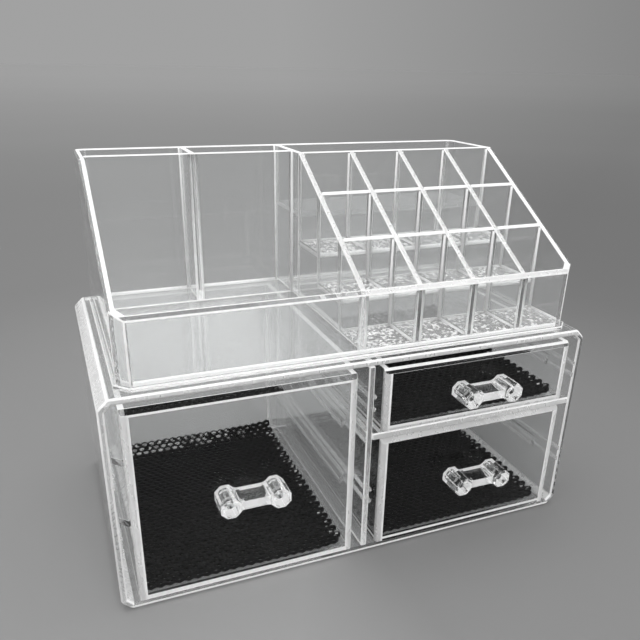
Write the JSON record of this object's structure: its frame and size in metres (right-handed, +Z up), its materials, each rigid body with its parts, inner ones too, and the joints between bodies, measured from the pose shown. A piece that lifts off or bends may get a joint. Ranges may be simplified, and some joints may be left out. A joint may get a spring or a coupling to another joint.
{
  "type": "make-up organizer",
  "caption": "Clear table-top make-up organizer: a cabinet of sliding drawers lined with black net, under a lift-off tray with rear pockets, an open front bay and a stepped lipstick rack.",
  "frame": {"origin": "middle of the cabinet's underside, on the surface that it stands on", "axes": "+X to the right along the cabinet's width, -Y towards the user and the drawers' fronts, +Z up"},
  "size_m": [0.24, 0.1482, 0.1865],
  "materials": {
    "clear_plastic": "clear, polished, as acrylic or polystyrene",
    "net_black": "soft black net"
  },
  "bodies": {
    "cabinet": {"cabinet_back": "clear_plastic", "cabinet_shell": "clear_plastic", "centre_partition": "clear_plastic", "drawer_shelf": "clear_plastic", "left_bay_guides": "clear_plastic", "right_bay_guides": "clear_plastic"},
    "left_drawer": {"left_drawer_handle": "clear_plastic", "left_drawer_handle_pegs": "clear_plastic", "left_drawer_net_liner": "net_black", "left_drawer_tub": "clear_plastic"},
    "upper_drawer": {"upper_drawer_handle": "clear_plastic", "upper_drawer_handle_pegs": "clear_plastic", "upper_drawer_net_liner": "net_black", "upper_drawer_tub": "clear_plastic"},
    "lower_drawer": {"lower_drawer_handle": "clear_plastic", "lower_drawer_handle_pegs": "clear_plastic", "lower_drawer_net_liner": "net_black", "lower_drawer_tub": "clear_plastic"},
    "tray": {"rack_back_wall": "clear_plastic", "rack_divider_1": "clear_plastic", "rack_divider_2": "clear_plastic", "rack_divider_3": "clear_plastic", "rack_row_wall_1": "clear_plastic", "rack_row_wall_2": "clear_plastic", "rack_side_wall": "clear_plastic", "rack_step_1": "clear_plastic", "rack_step_2": "clear_plastic", "raised_rear_floor": "clear_plastic", "rear_divider_left": "clear_plastic", "rear_divider_right": "clear_plastic", "rear_pocket_wall": "clear_plastic", "tray_floor": "clear_plastic", "tray_outer_wall": "clear_plastic"}
  },
  "joints": [
    {"name": "left_drawer_slide", "type": "slide", "parent": "cabinet", "child": "left_drawer", "axis": [0, -1, 0], "range_m": [0, 0.1]},
    {"name": "upper_drawer_slide", "type": "slide", "parent": "cabinet", "child": "upper_drawer", "axis": [0, -1, 0], "range_m": [0, 0.1]},
    {"name": "lower_drawer_slide", "type": "slide", "parent": "cabinet", "child": "lower_drawer", "axis": [0, -1, 0], "range_m": [0, 0.1]},
    {"name": "tray_lift", "type": "slide", "parent": "cabinet", "child": "tray", "axis": [0, 0, 1], "range_m": [0, 0.08]}
  ]
}
